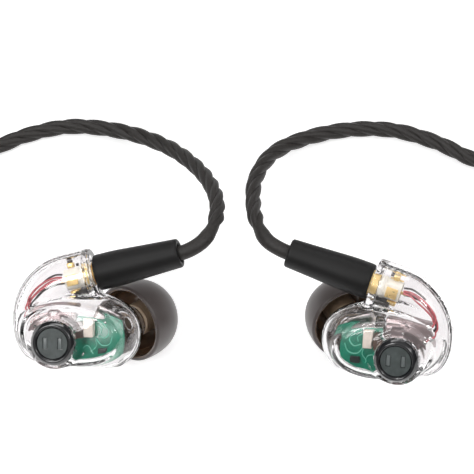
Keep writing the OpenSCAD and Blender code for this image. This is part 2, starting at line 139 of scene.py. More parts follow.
MATS = {
    "shell": clear_material("clear_acrylic", (0.905, 0.89, 0.895), 0.0, 1.49, 4.0, 0.3),
    "tube": clear_material("clear_vinyl", (0.96, 0.97, 0.98), 0.08, 1.4, 1.5, 0.3),
    "ring": material("gloss_black", (0.012, 0.012, 0.014), 0.14, grain=0.5, depth=0.002,
                     vary=0.3, rough_vary=0.05, Coat_Weight=0.6, Coat_Roughness=0.06),
    "disc": material("smoked_disc", (0.075, 0.09, 0.088), 0.22, grain=0.35, depth=0.002,
                     patch=1.1, vary=0.45, Coat_Weight=0.8, Coat_Roughness=0.05),
    "inlay": material("slot_inlay", (0.17, 0.19, 0.19), 0.3, depth=0.003, patch=0.8),
    "gold": material("gold_plate", (1.0, 0.69, 0.3), 0.3, grain=0.25, depth=0.003,
                     stretch=(1, 0.2, 1), vary=0.12, Metallic=0.7),
    "white": material("white_insulator", (0.85, 0.82, 0.74), 0.55),
    "potting": material("black_potting", (0.015, 0.014, 0.014), 0.35, grain=0.6, depth=0.04,
                        patch=1.0, vary=0.4),
    "mauve": material("driver_mauve", (0.37, 0.3, 0.3), 0.34, grain=0.25,
                      stretch=(0.15, 1, 1), vary=0.16, Metallic=0.75),
    "steel": material("driver_steel", (0.5, 0.46, 0.45), 0.3, grain=0.25,
                      stretch=(0.15, 1, 1), vary=0.12, Metallic=0.9),
    "board": material("green_board", (0.0, 0.215, 0.125), 0.3, grain=0.35, depth=0.01,
                      patch=1.3, other=(0.0, 0.085, 0.05), vary=0.25, Coat_Weight=0.5,
                      Coat_Roughness=0.12),
    "trace": material("board_trace", (0.12, 0.5, 0.36), 0.3, patch=0.8, Coat_Weight=0.4),
    "solder": material("solder", (0.7, 0.7, 0.68), 0.25, grain=0.2, depth=0.01, patch=0.4,
                       Metallic=1.0),
    "chip": material("dark_chip", (0.008, 0.014, 0.013), 0.5, grain=0.15),
    "cream": material("cream_block", (0.72, 0.64, 0.56), 0.5, grain=0.2, depth=0.005,
                      patch=0.7),
    "brown": material("brown_block", (0.07, 0.035, 0.022), 0.35, grain=0.2, patch=0.6),
    "damper": material("damper_foam", (0.09, 0.06, 0.035), 0.7, grain=0.12, depth=0.03),
    "mesh": material("fine_mesh", (0.55, 0.55, 0.55), 0.35, grain=0.15, depth=0.01,
                     Metallic=0.9),
    "red": material("red_wire", (0.46, 0.085, 0.1), 0.3, grain=0.2, patch=1.0, vary=0.3,
                    Coat_Weight=0.5),
    "black": material("black_wire", (0.045, 0.035, 0.036), 0.3, grain=0.2),
    "tip": material("silicone_tip", (0.07, 0.055, 0.052), 0.42, grain=0.12, depth=0.006,
                    patch=2.5, vary=0.08, Sheen_Weight=0.25, Sheen_Roughness=0.5),
    "tip_core": material("silicone_core", (0.1, 0.055, 0.03), 0.2, grain=0.4, depth=0.006,
                         patch=2.2, vary=0.4, other=(0.02, 0.011, 0.007),
                         Coat_Weight=0.7, Coat_Roughness=0.15),
    # the inner sleeve's light beige is painted light: it stands for light shining through the
    # translucent silicone
    "tip_sleeve_painted_light": material("silicone_sleeve_painted_light", (0.3, 0.22, 0.15), 0.3, depth=0.006,
                           patch=1.2, vary=0.3, Coat_Weight=0.4),
    "boot": material("boot_rubber", (0.007, 0.0065, 0.0065), 0.5, grain=0.12, depth=0.012,
                     patch=2.0, vary=0.25, Specular_IOR_Level=0.3),
    "cable": material("cable_jacket", (0.024, 0.0205, 0.0185), 0.55, grain=0.16, depth=0.03,
                      patch=0.35, vary=0.5, strength=0.7, Specular_IOR_Level=0.45),
    "grip": material("plug_grip", (0.02, 0.02, 0.022), 0.42, grain=0.15, depth=0.01),
}


def strap_material():
    """Woven hook-and-loop tape: two crossed waves for the weave and a fuzz over them."""
    mat, tree, bsdf = new_material("strap_weave")
    at = add_node(tree, "TexCoord").outputs["Object"]
    waves = []
    for direction in ("X", "Y"):
        wave = add_node(tree, "TexWave", Scale=700, Distortion=1.2, Vector=at)
        wave.bands_direction = direction
        waves.append(wave.outputs[1])
    weave, both = add_node(tree, "Math"), add_node(tree, "Math")
    weave.operation = "MULTIPLY"
    feed(tree, weave, dict(enumerate(waves)))
    feed(tree, both, {0: weave.outputs[0], 1: noise_node(tree, 0.15, 5.0).outputs[0]})
    ramp = add_node(tree, "ValToRGB")
    ramp.color_ramp.elements[0].color = (0.012, 0.012, 0.013, 1)
    ramp.color_ramp.elements[1].color = (0.06, 0.06, 0.064, 1)
    tree.links.new(both.outputs[0], ramp.inputs[0])
    feed(tree, bsdf, {"Base Color": ramp.outputs[0], "Roughness": 0.9, "Sheen Weight": 0.3})
    add_bump(tree, bsdf, both, 0.08, 0.7)
    return mat


MATS["strap"] = strap_material()


# ---- mesh tools
ON_AXIS = 1e-6  # a radius below it counts as nothing
PROFILE_STEPS, CORNER_STEPS, RIM_STEPS = 4, 4, 3  # points or steps of a rounded corner


def add_object(name, verts, faces, mats, body, smooth_angle, face_mats=None):
    """A visible piece, in metres, with the body it rides."""
    mesh = bpy.data.meshes.new(name)
    mesh.from_pydata([tuple(v) for v in verts], [], [tuple(f) for f in faces])
    mesh.validate()
    for mat in mats:
        mesh.materials.append(MATS[mat])
    if face_mats is not None:
        mesh.polygons.foreach_set("material_index", face_mats)
    mesh.shade_smooth()
    mesh.set_sharp_from_angle(angle=radians(smooth_angle))
    obj = new_object(name, mesh)
    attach(obj, body)
    return obj


def outward(verts, faces):
    """Turns all faces the same way, outwards."""
    bm = bmesh.new()
    made = [bm.verts.new(v) for v in verts]
    for f in faces:
        bm.faces.new([made[i] for i in f])
    bmesh.ops.recalc_face_normals(bm, faces=bm.faces)
    bm.verts.index_update()
    result = [tuple(v.index for v in f.verts) for f in bm.faces]
    bm.free()
    return result


def moved(matrix, points):
    """Points through a 4x4 matrix."""
    m = np.array(matrix)
    return np.asarray(points, float) @ m[:3, :3].T + m[:3, 3]


def catmull(points, per_span):
    """A smooth line through the points."""
    p = np.asarray(points, float)
    p = np.vstack([2 * p[0] - p[1], p, 2 * p[-1] - p[-2]])
    out = []
    for i in range(1, len(p) - 2):
        q = p[i - 1:i + 3]
        knots = np.r_[0, np.cumsum(norm(np.diff(q, axis=0), axis=1) ** 0.5)]
        t = np.linspace(knots[1], knots[2], per_span, endpoint=False)[:, None]

        def blend(a, b, i, j):
            return ((knots[j] - t) * a + (t - knots[i]) * b) / (knots[j] - knots[i])

        ab, bc, cd = [blend(q[k], q[k + 1], k, k + 1) for k in range(3)]
        out.append(blend(blend(ab, bc, 0, 2), blend(bc, cd, 1, 3), 1, 2))
    return np.vstack(out + [p[-2:-1]])


def even(points, step):
    """The same line with points an even step apart."""
    d = np.r_[0, np.cumsum(norm(np.diff(points, axis=0), axis=1))]
    s = np.linspace(0, d[-1], max(2, round(d[-1] / step) + 1))
    return np.stack([np.interp(s, d, points[:, i]) for i in range(3)], 1), s


def frames_along(line):
    """Two unit vectors across the line at each point, turning as little as possible."""
    t = np.gradient(line, axis=0)
    t /= norm(t, axis=1)[:, None]
    u = np.zeros_like(t)
    start = np.array([0, 0, 1.0]) if abs(t[0][2]) < 0.9 else np.array([1.0, 0, 0])
    u[0] = start - start @ t[0] * t[0]
    u[0] /= norm(u[0])
    for i in range(1, len(t)):
        u[i] = u[i - 1] - u[i - 1] @ t[i] * t[i]
        u[i] /= norm(u[i])
    return u, np.cross(t, u)


def ring_faces(rings, sides, loop=False):
    """Quads between rings of points, in a loop or with a cap at each end."""
    faces = []
    for i in range(rings if loop else rings - 1):
        a, b = i * sides, (i + 1) % rings * sides
        for k in range(sides):
            k2 = (k + 1) % sides
            faces.append([a + k, a + k2, b + k2, b + k])
    if not loop:
        faces += [list(range(sides))[::-1], list(range(b, b + sides))]
    return faces


def tube(line, radius, sides):
    """A closed tube round a line; radius is one number or one a point."""
    r = np.broadcast_to(np.asarray(radius, float), (len(line),))[:, None, None]
    u, v = frames_along(line)
    a = np.linspace(0, 2 * pi, sides, endpoint=False)[None, :, None]
    verts = line[:, None] + r * (np.cos(a) * u[:, None] + np.sin(a) * v[:, None])
    return verts.reshape(-1, 3), ring_faces(len(line), sides)


def joined(parts):
    """Several (verts, faces) as one."""
    verts, faces, start = [], [], 0
    for v, f in parts:
        verts.append(np.asarray(v, float))
        faces += [[i + start for i in face] for face in f]
        start += len(v)
    return np.vstack(verts), faces


def rounded(profile, radius):
    """The corners of a closed profile (r, z) rounded; corners on the axis stay."""
    p = [np.array(q, float) for q in profile]
    out = []
    for i, q in enumerate(p):
        a, b = p[i - 1], p[(i + 1) % len(p)]
        da, db = norm(a - q), norm(b - q)
        if q[0] < ON_AXIS or min(da, db) < ON_AXIS:
            out.append(q)
            continue
        cut = min(radius, 0.45 * da, 0.45 * db)
        start, end = q + (a - q) / da * cut, q + (b - q) / db * cut
        for t in np.linspace(0, 1, PROFILE_STEPS):
            out.append((1 - t) ** 2 * start + 2 * t * (1 - t) * q + t * t * end)
    return out


def lathe(profile, sides=96):
    """A profile (r, z), closed or from axis to axis, turned round Z."""
    on_axis = [p[0] < ON_AXIS for p in profile]
    rings, verts = [], []
    for (r, z), centre in zip(profile, on_axis):
        first = len(verts)
        if centre:
            verts.append((0, 0, z))
            rings.append([first] * sides)
        else:
            verts += [(x, y, z) for x, y in arc_points(0, 0, r, 0, 360, sides)[:-1]]
            rings.append(list(range(first, first + sides)))
    faces = []
    for i, ring in enumerate(rings):
        nxt = rings[(i + 1) % len(rings)]
        if on_axis[i] and on_axis[(i + 1) % len(rings)]:
            continue
        for k in range(sides):
            quad = [ring[k], ring[(k + 1) % sides], nxt[(k + 1) % sides], nxt[k]]
            faces.append(list(dict.fromkeys(quad)))
    return np.array(verts), outward(verts, faces)


def arc_points(cx, cy, radius, start, sweep, steps):
    """Points (x, y) round a centre, over a sweep in degrees."""
    angles = np.radians(np.linspace(start, start + sweep, steps + 1))
    return [(cx + radius * cos(a), cy + radius * sin(a)) for a in angles]


def slab(outline, low, high, bevel):
    """A flat outline (x, y) made solid from low to high, its rims rounded."""
    o = np.asarray(outline, float)
    n = len(o)
    edge = np.roll(o, -1, 0) - np.roll(o, 1, 0)
    normal = np.stack([edge[:, 1], -edge[:, 0]], 1)
    normal /= norm(normal, axis=1)[:, None]
    area = np.sum(o[:, 0] * np.roll(o[:, 1], -1) - np.roll(o[:, 0], -1) * o[:, 1])
    normal *= np.sign(area)
    rim = [(bevel * (1 - sin(t)), bevel * (1 - cos(t)))
           for t in np.linspace(0, pi / 2, RIM_STEPS + 1)]
    layers = [(inset, low + rise) for inset, rise in rim]
    layers += [(inset, high - rise) for inset, rise in rim[::-1]]
    verts = np.vstack([np.c_[o - inset * normal, np.full(n, z)] for inset, z in layers])
    return verts, outward(verts, ring_faces(len(layers), n))


def round_box(size, radius):
    """A box from the origin to size, with round upright corners and rims."""
    x, y, z = size
    outline = []
    for cx, cy, start in ((x - radius, y - radius, 0), (radius, y - radius, 90),
                          (radius, radius, 180), (x - radius, radius, 270)):
        outline += arc_points(cx, cy, radius, start, 90, CORNER_STEPS)
    return slab(outline, 0, z, radius * 0.7)


def placed(shape, at, turn=0):
    """A shape turned about Z, in degrees, and moved to its place."""
    verts, faces = shape
    m = Matrix.Translation(at) @ Matrix.Rotation(radians(turn), 4, "Z")
    return moved(m, verts), faces


def boxes(*rows):
    """Round boxes as one shape, each given by its size, corner radius and place."""
    return joined([placed(round_box(size, radius), at) for size, radius, at in rows])


def smooth_profile(points, per_span):
    """A smooth curve through points (r, z)."""
    return [(r, z) for r, _, z in catmull([(r, 0, z) for r, z in points], per_span)]


# ---- cords, mm
LEG, TRUNK = 2.4, 2.8  # the cords' diameters
LEG_COIL, TRUNK_COIL = (-25.8, 84.3), (21.9, 83.9)
LEG_COIL_R, TRUNK_COIL_R = {"right": 17.8, "left": 15.4}, 21.5  # of the outer turns
COIL_POINTS, COIL_FLOOR = 24, 0.5  # points in a turn; the coils lie on their straps
SEAT_ALONG = 11.8  # from the socket's face to where a leg meets the boot
LEG_LEAD = 2.2  # the straight start of a leg
RUN_Y, RUN_Z, RUN_GAP = 104, 2.2, 1.5  # the legs' run through the slider, side by side
RUN_START_Y = {"right": 102.9, "left": 100.2}
STRANDS, LAY = 4, 13.6  # the lay is the length of a strand's turn
STRAND_R, HELIX_R = 0.262, 0.238  # of the cord's diameter
SLEEVE_LEN, PLAIN_LEN = 8.6, 8.5  # the sleeve at the boot; the strands inside are drawn in
SLEEVE_R, SLEEVE_END_R, SLEEVE_STEP = 1.1, 0.82, 0.25


def resting(*points):
    """Points (x, y) of a leg that lies on the table."""
    return [(x, y, LEG / 2) for x, y in points]


LEG_ROUTES = {
    "right": [
        (-4.5, 9.9, 18.6), (-2.8, 12.9, 17.7), (-2.3, 17, 15.3), (-3.2, 21.5, 12),
        (-5.5, 26, 8.5), (-10, 31, 4.5), (-16.5, 34.5, 1.8),
        *resting((-24.5, 35.6), (-31.5, 34), (-36.4, 31.8), (-39.5, 31.1), (-42.4, 32.2),
                 (-44.3, 34.8), (-44.9, 38.5), (-44.8, 43), (-44.4, 50), (-43.8, 58),
                 (-43.5, 66), (-43.5, 74)),
        (-43.6, 80, 1.5),
    ],
    "left": [
        (5, 10.9, 16.7), (3.5, 14.5, 15.1), (3, 19, 12), (3.4, 24, 8.9),
        (6, 29.5, 5.2), (10.5, 33, 2.5), (17, 35, 1.3),
        *resting((24, 35), (30.5, 33), (36, 30.3), (39.2, 29.7), (42.1, 30.8), (44.1, 33.4),
                 (44.8, 37), (45, 42), (44.8, 47.5), (43.3, 53), (39.3, 57.6), (32.5, 59.2),
                 (24, 59.3), (15, 59.3), (6, 59.3), (-3, 59.3), (-12, 59.4), (-20.5, 60.4),
                 (-28, 62.2), (-34.2, 66.2)),
        (-38.4, 71.6, 1.4), (-40.6, 77.6, 1.6),
    ],
}
TRUNK_IN = [(6, RUN_Y, RUN_Z), (7.5, RUN_Y, RUN_Z), (10.5, 104.4, 2.13), (15, 105.2, 2)]
PLUG_BASE, PLUG_TURN = (24.24, 72.84, 9.68), 20
TRUNK_OUT = [(42.7, 78.3, 5.6), (40.5, 73.1, 6.9), (37.1, 68.7, 7.8), (33.7, 66.8, 8),
             (29.9, 66.8, 8.5), (26.6, 68.5, 9.3), (24.75, 71.43, 9.68), PLUG_BASE]


def ease(t):
    """From 0 to 1, softly at both ends."""
    t = min(1, max(0, t))
    return t * t * (3 - 2 * t)


def coil(centre, start, turns, radius, height):
    """A clockwise coil; radius and height are functions of the turn."""
    points = []
    for k in range(round(turns * COIL_POINTS) + 1):
        t = k / COIL_POINTS
        a = radians(start - 360 * t)
        points.append((centre[0] + radius(t) * cos(a),
                       centre[1] + radius(t) * sin(a), height(t)))
    return points


def socket_point(side, s):
    """A point on the socket's axis, s mm out of its face."""
    joint = JOINTS[side + "_swivel"]
    return [joint["pos_m"][i] / MM + s * joint["axis"][i] for i in range(3)]


def leg_line(side):
    """Out of the boot, over the table, twice round the coil and through the slider."""
    outer, pitch = LEG_COIL_R[side], 2 * LEG
    lead = [socket_point(side, SEAT_ALONG + s) for s in (0, LEG_LEAD)]
    wound = coil(LEG_COIL, 180, 2.25,
                 lambda t: outer - pitch * min(t, 1) + pitch * max(0, t - 1.25),
                 lambda t: COIL_FLOOR + LEG / 2 + LEG * ease((t - 1) * 4))
    y = RUN_Y + SIDES[side] * RUN_GAP
    run = [(-20.8, RUN_START_Y[side], 3.4), (-16.2, y - 0.15, 2.3), (-14.9, y, RUN_Z),
           (-9.5, y, RUN_Z), (-3, y, RUN_Z)]
    return catmull(lead + LEG_ROUTES[side] + wound + run, 8)


def trunk_line():
    """Four turns inwards, then four and a quarter outwards on top of them."""
    least = TRUNK_COIL_R - TRUNK * 4
    wound = coil(TRUNK_COIL, 90, 8.25,
                 lambda t: least + TRUNK * max(0, 4 - t, t - 4.25),
                 lambda t: COIL_FLOOR + TRUNK / 2 + TRUNK * ease((t - 4) * 4))
    return catmull(TRUNK_IN + wound + TRUNK_OUT, 4)


def twisted(line_mm, diameter, step, sides, plain=0.0):
    """Strands laid round a line; over the plain length they lie closer, under a sleeve."""
    line, s = even(line_mm, step)
    u, v = frames_along(line)
    free = np.clip((s - plain) / 1.5, 0, 1) if plain else np.ones_like(s)
    strand = diameter * STRAND_R * (0.86 + 0.14 * free)
    helix = diameter * HELIX_R * (0.72 + 0.28 * free)
    parts = []
    for k in range(STRANDS):
        a = 2 * pi * (s / LAY + k / STRANDS)
        offset = (helix * np.cos(a))[:, None] * u + (helix * np.sin(a))[:, None] * v
        parts.append(tube(line + offset, strand, sides))
    verts, faces = joined(parts)
    return verts * MM, faces, line * MM, s[-1] * MM


cords = {}
for side in SIDES:
    verts, faces, path, length = twisted(leg_line(side), LEG, 0.55, 8, PLAIN_LEN)
    cord = add_object(side + "_leg", verts, faces, ["cable"], "cable", 60)
    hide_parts(side + "_leg_cord")
    cords[side] = (cord, path, length)
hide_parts("leg_coil")
verts, faces, path, length = twisted(trunk_line(), TRUNK, 0.8, 7)
trunk = add_object("trunk", verts, faces, ["cable"], "cable", 60)
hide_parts("trunk_cord", "trunk_coil")
cords["trunk"] = (trunk, path, length)


# ---- a monitor's own frame, mm
SOCKET_AT = Vector((2.5, 7.6, -0.3))
SOCKET_TURN = radians(14.5)
VENT_AT = np.array((-2.5, -1.85, 4.6))
RIM_AT = Vector((6.4, -0.44, -5.27))
LEAN, TURN = radians(146.8), radians(24.3)
SOCKET_AXIS = Vector((cos(SOCKET_TURN), sin(SOCKET_TURN), 0))
SOCKET_UP = Vector((-sin(SOCKET_TURN), cos(SOCKET_TURN), 0))
NOZZLE_AXIS = Vector((sin(LEAN) * cos(TURN), sin(LEAN) * sin(TURN), cos(LEAN)))
BODY_AT, BODY_TURN = np.array((0.1, -0.6, 0)), radians(-5)
BODY_LEN, BODY_DIA, FULLNESS = 18.7, 11.5, 2.4
WALL, BODY_WALL = 0.9, 0.6  # of the arm, and of the body
SEAM_Z, BOARD_Z = 0.8, 1.9  # the shells' seam, and the board's upper face
ARM_R, ARM_BEND, ARM_RUN = 3.85, 6.1, 4.0  # the bend's own radius, then the straight end
CONE_R, CONE_LEN, CONE_TAPER, CONE_WALL = 4.2, 5.4, 0.266, 1.3  # the foot of the nozzle
CONE_SLANT = 0.966  # the cosine of the taper's angle
NOZZLE_R, NOZZLE_BORE = 1.7, 1.1
BOSS_R, BOSS_TOP, BOSS_FOOT = 3.95, 0.95, 1.2  # round the vent cap
KEY_AT, KEY_SIZE = (0.1, 4.1, 0.45), (1.5, 1.1, 1.3)  # the small block beside the boss
SOCKET_BORE, VENT_SEAT, VENT_HOLE = 1.74, 3.3, 1.2
TERRACE_HALF, TERRACE_TOP, TERRACE_FOOT = (7.6, 4.5), 5.35, 1.5
TIP_LEN = 7.6


def triad(u, v):
    """A rotation whose axes are u, the part of v across it, and their product."""
    w = u.cross(v).normalized()
    return Matrix((u.normalized(), w.cross(u).normalized(), w)).transposed()


def monitor_matrix(side):
    """From a monitor's own frame in mm to the row's frame, by its swivel and its nozzle."""
    mirror = Matrix.Diagonal((SIDES[side], 1, 1))
    swivel, pull = JOINTS[side + "_swivel"], JOINTS[side + "_tip_pull"]
    own = triad(mirror @ SOCKET_AXIS, mirror @ NOZZLE_AXIS)
    world = triad(Vector(swivel["axis"]), Vector(pull["axis"]))
    turn = (world @ own.transposed() @ mirror).to_4x4()
    place = Matrix.Translation(swivel["pos_m"]) @ Matrix.Scale(MM, 4)
    return place @ turn @ Matrix.Translation(-SOCKET_AT)


def frame_matrix(origin, x, y, z):
    """From a frame given by its origin and axes to the frame that they are given in."""
    m = Matrix((x, y, z)).transposed().to_4x4()
    m.translation = origin
    return m


Z = Vector((0, 0, 1))
AT_SOCKET = frame_matrix(SOCKET_AT, -Z, SOCKET_UP, SOCKET_AXIS)
NOZZLE_SIDE = Vector((-sin(TURN), cos(TURN), 0))
AT_NOZZLE = frame_matrix(RIM_AT, NOZZLE_SIDE.cross(NOZZLE_AXIS), NOZZLE_SIDE, NOZZLE_AXIS)
AT_VENT = Matrix.Translation(VENT_AT)
HERE = Matrix.Identity(4)


def piece(side, name, shape, at, mats, slot, node=None, body="monitor", angle=35,
          face_mats=None):
    """A piece of a monitor, given in one of its frames in mm; node is the CAD node."""
    verts, faces = shape
    m = monitor_matrix(side) @ at
    world = moved(m, verts)
    if m.determinant() < 0:
        faces = [list(f)[::-1] for f in faces]
    mats = [mats] if isinstance(mats, str) else mats
    rides = body if body == "cable" else side + "_" + body
    obj = add_object(f"{side}_{name}", world, faces, mats, rides, angle, face_mats)
    if node:
        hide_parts(f"{side}_{node}")
    return obj


# ---- clear shells
GRID, SEAM_GAP = 0.24, 0.01
FAR = 1e3  # a distance that never counts


def smooth_min(a, b, k):
    """The lower of two distances, blended where they are within k."""
    h = np.maximum(k - np.abs(a - b), 0) / k
    return np.minimum(a, b) - h * h * k / 4


def smooth_max(a, b, k):
    return -smooth_min(-a, -b, k)


def oval_distance(x, rho, half_len, half_dia, power):
    """Nearly the distance to a full oval: x along it, rho across it."""
    gx, gr = np.abs(x) / half_len, np.abs(rho) / half_dia
    g = np.maximum((gx ** power + gr ** power) ** (1 / power), 1e-3)
    dx = (gx / g) ** (power - 1) / half_len
    dr = (gr / g) ** (power - 1) / half_dia
    return (g - 1) / np.maximum(np.hypot(dx, dr), 0.05)


def in_body(p):
    """Points in the frame of the body's oval."""
    q = p - BODY_AT
    c, s = cos(BODY_TURN), sin(BODY_TURN)
    return q[:, 0] * c + q[:, 1] * s, -q[:, 0] * s + q[:, 1] * c, q[:, 2]


def in_frame(p, matrix):
    """Points in the frame that the matrix leads from."""
    return moved(matrix.inverted(), p).T


def body_distance(p):
    x, y, z = in_body(p)
    return oval_distance(x, np.hypot(y, z), BODY_LEN / 2, BODY_DIA / 2, FULLNESS)


def arm_distance(p):
    """The bent arm, flat at its end face."""
    w, h, s = in_frame(p, AT_SOCKET)
    straight = smooth_max(np.hypot(h, w) - ARM_R, s, 0.35)
    straight = np.where(s < -ARM_RUN, FAR, straight)
    x, y = s + ARM_RUN, h + ARM_BEND
    a = np.arctan2(y, x)
    a = np.where(a < -pi / 2, a + 2 * pi, a)
    a = np.clip(a, pi / 2, radians(190))
    bend = np.sqrt((x - ARM_BEND * np.cos(a)) ** 2 + (y - ARM_BEND * np.sin(a)) ** 2 + w * w)
    bend = np.where(s > -ARM_RUN, FAR, bend - ARM_R)
    return np.minimum(straight, bend)


def terrace_distance(p):
    """The raised flat field of the faceplate, round the vent cap."""
    x, y, z = in_body(p)
    d = oval_distance(x + 0.3, y + 0.35, *TERRACE_HALF, 2.2)
    return smooth_max(smooth_max(d, z - TERRACE_TOP, 1.2), TERRACE_FOOT - z, 0.7)


def box_distance(p, centre, size, radius):
    q = np.abs(p - np.asarray(centre)) - np.asarray(size) / 2 + radius
    return norm(np.maximum(q, 0), axis=1) + np.minimum(q.max(axis=1), 0) - radius


def shell_distance(p):
    """The clear shell: its outside, less the cavity and the bores."""
    nx, ny, t = in_frame(p, AT_NOZZLE)
    off_nozzle = np.hypot(nx, ny)
    w, h, s = in_frame(p, AT_SOCKET)
    off_socket = np.hypot(w, h)
    v = p - VENT_AT
    off_vent, up = np.hypot(v[:, 0], v[:, 1]), v[:, 2]
    body, arm, terrace = body_distance(p), arm_distance(p), terrace_distance(p)
    cone = (off_nozzle - (CONE_R - (t + CONE_LEN) * CONE_TAPER)) * CONE_SLANT
    cone = smooth_max(cone, np.maximum(t - 1, -CONE_LEN - t), 0.3)
    boss = smooth_max(off_vent - BOSS_R, np.maximum(up - BOSS_TOP, -BOSS_FOOT - up), 0.3)
    nozzle = smooth_max(off_nozzle - NOZZLE_R, np.maximum(t - (TIP_LEN - 0.6), -2 - t), 0.2)

    outer = smooth_min(body, arm, 0.7)
    outer = smooth_min(outer, terrace, 0.8)
    outer = smooth_min(outer, cone, 1.6)
    outer = smooth_min(outer, boss, 0.6)
    outer = smooth_min(outer, box_distance(v, KEY_AT, KEY_SIZE, 0.2), 0.25)
    outer = np.minimum(outer, nozzle)

    inner = np.minimum(smooth_min(body, terrace, 0.8) + BODY_WALL,
                       np.maximum(arm, s + 1 - WALL) + WALL)
    inner = smooth_min(inner, cone + CONE_WALL, 0.5)
    for bore in (np.maximum(off_socket - SOCKET_BORE, np.abs(s) - 2),
                 np.maximum(off_nozzle - NOZZLE_BORE, np.abs(t - 7) - 12.4),
                 np.maximum(off_vent - VENT_SEAT, -up),
                 np.maximum(off_vent - VENT_HOLE, np.abs(up) - 2)):
        inner = np.minimum(inner, bore)
    return smooth_max(outer, -inner, 0.1)


def surface(distance, low, high, step):
    """The zero surface of a distance function, as quads whose corners lie on it."""
    axes = [np.arange(a, b + step, step) for a, b in zip(low, high)]
    grid = np.stack(np.meshgrid(*axes, indexing="ij"), -1)
    n = np.array(grid.shape[:3])
    f = distance(grid.reshape(-1, 3)).reshape(n)
    cells = n - 1
    total, hits = np.zeros((*cells, 3)), np.zeros(cells)
    index = np.arange(cells.prod()).reshape(cells)
    quads = []
    for axis in range(3):
        u, v = (axis + 1) % 3, (axis + 2) % 3
        a = np.take(f, range(n[axis] - 1), axis)
        b = np.take(f, range(1, n[axis]), axis)
        where = np.nonzero((a < 0) != (b < 0))
        fa, fb = a[where], b[where]
        point = np.stack(where, 1).astype(float)
        point[:, axis] += fa / (fa - fb)
        ring = []
        for du, dv in ((0, 0), (-1, 0), (-1, -1), (0, -1)):
            cell = list(where)
            cell[u], cell[v] = where[u] + du, where[v] + dv
            cell = tuple(cell)
            np.add.at(total, cell, point)
            np.add.at(hits, cell, 1)
            ring.append(index[cell])
        ids = np.stack(ring, 1)
        ids[fa > 0] = ids[fa > 0][:, ::-1]
        quads.append(ids)
    used, quads = np.unique(np.vstack(quads), return_inverse=True)
    quads = quads.reshape(-1, 4)
    verts = total.reshape(-1, 3)[used] / hits.reshape(-1)[used][:, None]
    verts = np.asarray(low) + verts * step
    nudge = 0.01
    for _ in range(4):
        slope = np.stack([distance(verts + e) - distance(verts - e)
                          for e in np.eye(3) * nudge], 1) / (2 * nudge)
        steepness = np.maximum((slope ** 2).sum(1), 0.3)
        shift = (distance(verts) / steepness)[:, None] * slope
        size = norm(shift, axis=1)[:, None]
        verts = verts - shift * np.minimum(1, 0.25 * step / np.maximum(size, 1e-9))
    return verts, quads.tolist()


def shell_half(way, low, high):
    """The shell on one side of the seam: way is 1 for the front and -1 for the back."""
    return surface(lambda p: np.maximum(shell_distance(p),
                                        SEAM_GAP - way * (p[:, 2] - SEAM_Z)), low, high, GRID)


SHELLS = {"shell_front": shell_half(1, (-10, -7.2, 0.3), (10.4, 12.4, 6.2)),
          "shell_back": shell_half(-1, (-10, -7.2, -12.6), (13.4, 12.4, 1.3))}

# ---- shapes of the small parts
VENT_R, DISC_R, VENT_H = 3.25, 2.25, 2.2
RING = lathe(rounded([
    (VENT_HOLE, 0), (VENT_R, 0), (VENT_R, VENT_H - 0.55), (VENT_R - 0.45, VENT_H),
    (DISC_R + 0.28, VENT_H), (DISC_R + 0.02, VENT_H - 0.4), (DISC_R + 0.02, VENT_H - 1),
    (VENT_HOLE, VENT_H - 1)], 0.12), 120)
INLAYS = boxes(*[((0.62, 1.62, 0.3), 0.16, (x - 0.31, -0.81, VENT_H - 0.66))
                 for x in (-1.1, 1.1)])

TIP_R, TIP_BORE, TIP_CORE_R = 5.9, 1.76, 2.41
TIP_DOME = [(TIP_R - 0.1, 0), (TIP_R, 1.4), (TIP_R - 0.1, 2.9), (TIP_R - 0.45, 4.3),
            (TIP_R - 1.2, 5.6), (TIP_R - 2.3, 6.7), (TIP_R - 3.3, TIP_LEN - 0.25),
            (TIP_R - 3.7, TIP_LEN)]
TIP_CORE = [(TIP_BORE, TIP_LEN), (TIP_BORE, 1.4), (TIP_CORE_R, 1.4)]
TIP_UNDER = [(TIP_CORE_R, 5.2), (TIP_R - 2.8, 5.6), (TIP_R - 1.8, 4.9), (TIP_R - 1.1, 3.8),
             (TIP_R - 0.75, 2.5), (TIP_R - 0.65, 1.4), (TIP_R - 0.7, 0)]
TIP_RIM = [(TIP_R - 0.5, -0.12), (TIP_R - 0.25, -0.12)]
TIP_MATS = ["tip", "tip_core", "tip_sleeve_painted_light"]


def tip_shape():
    """The tip's shape, and for each face which of TIP_MATS it has."""
    verts, faces = lathe([*smooth_profile(TIP_DOME, 5), *TIP_CORE,
                          *smooth_profile(TIP_UNDER, 5), *TIP_RIM], 128)
    radial = np.hypot(verts[:, 0], verts[:, 1])
    dome_r, dome_z = zip(*TIP_DOME)
    mats = []
    for f in faces:
        r, z = radial[list(f)].mean(), verts[list(f), 2].mean()
        within = r < np.interp(z, dome_z, dome_r) - 0.35 and z < TIP_LEN - 0.4
        # faces of the inner sleeve get the beige of painted light shining through the silicone
        mats.append((2 if r < TIP_CORE_R + 0.05 else 1) if within else 0)
    return (verts, faces), mats


TIP, TIP_FACES = tip_shape()

BOOT_R, BOOT_END_R, BOOT_LEN = 2.65, 2.15, 13.1
BOOT_MOUTH_R, BOOT_FLOOR, LEG_SEAT_R = 1.92, 4.02, LEG / 2 + 0.25
BOOT = lathe(rounded([(BOOT_MOUTH_R, 0.3), (BOOT_R - 0.2, 0.3), (BOOT_R - 0.02, 0.5)], 0.05)
             + smooth_profile([(BOOT_R, 0.75), (BOOT_R, 3.4), (BOOT_R - 0.18, 6.8),
                               (BOOT_END_R + 0.15, 9.8), (BOOT_END_R, BOOT_LEN - 0.35)], 8)
             + [(BOOT_END_R - 0.06, BOOT_LEN - 0.12), (BOOT_END_R - 0.22, BOOT_LEN),
                (LEG_SEAT_R + 0.09, BOOT_LEN), (LEG_SEAT_R, BOOT_LEN - 0.1),
                (LEG_SEAT_R, SEAT_ALONG), (0, SEAT_ALONG), (0, BOOT_FLOOR),
                (BOOT_MOUTH_R, BOOT_FLOOR)], 96)
